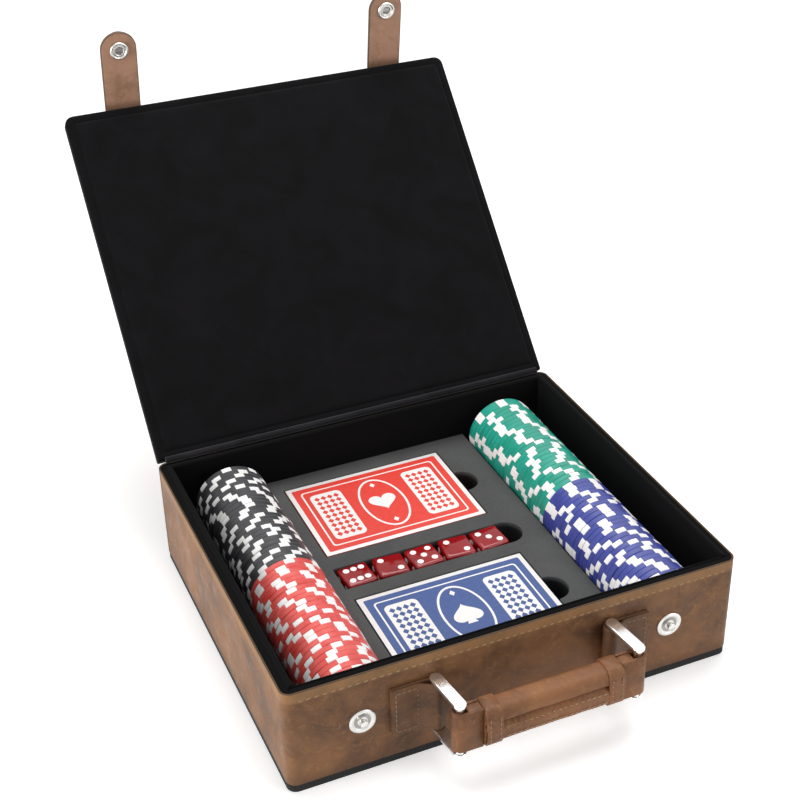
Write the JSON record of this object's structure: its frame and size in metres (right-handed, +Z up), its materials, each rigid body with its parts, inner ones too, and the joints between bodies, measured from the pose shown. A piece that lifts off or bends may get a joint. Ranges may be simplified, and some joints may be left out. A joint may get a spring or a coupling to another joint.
{
  "type": "poker set case",
  "caption": "Open brown leather poker case with a black velvet lining, snap straps, a ring-hung handle, and foam holding chips, card boxes and dice.",
  "frame": {"origin": "centre of the base's underside, halfway between the outer walls", "axes": "+Z up; +X to the right as one faces the handle; +Y from the handle's wall towards the hinge"},
  "size_m": [0.229, 0.3697, 0.2455],
  "materials": {
    "brown_leather": "distressed, satin",
    "strap_leather": "distressed, satin",
    "black_velvet": "short pile",
    "grey_foam": "matt closed-cell foam",
    "grey_board": "hidden under the leather",
    "black_base": "coarse cloth",
    "black_chips": "with white edge spots",
    "red_chips": "with white edge spots",
    "green_chips": "with white edge spots",
    "blue_chips": "with white edge spots",
    "red_card_box": "printed, varnished",
    "blue_card_box": "printed, varnished",
    "card_paper": "smooth",
    "red_dice": "translucent, white pips",
    "ring_chrome": "polished",
    "snap_nickel": "polished nickel"
  },
  "bodies": {
    "tray": {"base_board": "black_base", "tray_cover": "brown_leather", "back_cover": "brown_leather", "floor_lining": "black_velvet", "foam_base": "grey_foam", "foam_insert": "grey_foam", "chip_rail_left": "grey_foam", "chip_rail_right": "grey_foam", "hinge_roll": "black_velvet", "snap_studs": "snap_nickel", "handle_tab_left": "strap_leather", "handle_tab_right": "strap_leather", "wall_board_front": "grey_board", "lining_front": "black_velvet", "wall_board_back": "grey_board", "lining_back": "black_velvet", "wall_board_left": "grey_board", "lining_left": "black_velvet", "wall_board_right": "grey_board", "lining_right": "black_velvet"},
    "lid": {"lid_lining": "black_velvet", "lid_board": "grey_board", "lid_cover": "brown_leather", "strap_base_left": "strap_leather", "strap_base_right": "strap_leather"},
    "strap_left": {"strap_flap_left": "strap_leather", "strap_snap_left": "snap_nickel"},
    "strap_right": {"strap_flap_right": "strap_leather", "strap_snap_right": "snap_nickel"},
    "ring_left": {"ring_left": "ring_chrome"},
    "handle": {"end_loop_left": "strap_leather", "end_loop_right": "strap_leather", "grip_core": "strap_leather", "grip_cover": "strap_leather", "grip_keeper_left": "strap_leather", "grip_keeper_right": "strap_leather"},
    "ring_right": {"ring_right": "ring_chrome"},
    "deck_red": {"card_box_red": "red_card_box", "cards_red": "card_paper"},
    "deck_blue": {"card_box_blue": "blue_card_box", "cards_blue": "card_paper"},
    "dice": {"dice": "red_dice"},
    "chips_black": {"chips_black": "black_chips"},
    "chips_red": {"chips_red": "red_chips"},
    "chips_green": {"chips_green": "green_chips"},
    "chips_blue": {"chips_blue": "blue_chips"}
  },
  "joints": [
    {"name": "lid_hinge", "type": "hinge", "parent": "tray", "child": "lid", "pos_m": [0, 0.0973, 0.0592], "axis": [-1, 0, 0], "range_deg": [-133.3, 0]},
    {"name": "strap_fold_left", "type": "hinge", "parent": "lid", "child": "strap_left", "pos_m": [-0.0786, 0.23994, 0.19904], "axis": [1, 0, 0], "range_deg": [-52, 38]},
    {"name": "strap_fold_right", "type": "hinge", "parent": "lid", "child": "strap_right", "pos_m": [0.0786, 0.23994, 0.19904], "axis": [1, 0, 0], "range_deg": [-52, 38]},
    {"name": "ring_swing_left", "type": "hinge", "parent": "tray", "child": "ring_left", "pos_m": [-0.0445, -0.1019, 0.0311], "axis": [0, 0, 1], "range_deg": [-60, 46]},
    {"name": "handle_swing", "type": "hinge", "parent": "ring_left", "child": "handle", "pos_m": [-0.04212, -0.12126, 0.0311], "axis": [0, 0, 1], "range_deg": [-46, 60]},
    {"name": "ring_swing_right", "type": "hinge", "parent": "tray", "child": "ring_right", "pos_m": [0.0445, -0.1019, 0.0311], "axis": [0, 0, 1], "range_deg": [-60, 46]},
    {"name": "lift_deck_red", "type": "slide", "parent": "tray", "child": "deck_red", "axis": [0, 0, 1], "range_m": [0, 0.04]},
    {"name": "lift_deck_blue", "type": "slide", "parent": "tray", "child": "deck_blue", "axis": [0, 0, 1], "range_m": [0, 0.04]},
    {"name": "lift_dice", "type": "slide", "parent": "tray", "child": "dice", "axis": [0, 0, 1], "range_m": [0, 0.04]},
    {"name": "lift_chips_black", "type": "slide", "parent": "tray", "child": "chips_black", "axis": [0, 0, 1], "range_m": [0, 0.06]},
    {"name": "lift_chips_red", "type": "slide", "parent": "tray", "child": "chips_red", "axis": [0, 0, 1], "range_m": [0, 0.06]},
    {"name": "lift_chips_green", "type": "slide", "parent": "tray", "child": "chips_green", "axis": [0, 0, 1], "range_m": [0, 0.06]},
    {"name": "lift_chips_blue", "type": "slide", "parent": "tray", "child": "chips_blue", "axis": [0, 0, 1], "range_m": [0, 0.06]}
  ],
  "couplings": [
    {"joint": "handle_swing", "follows": "ring_swing_left", "ratio": -1},
    {"joint": "ring_swing_right", "follows": "ring_swing_left", "ratio": 1}
  ]
}
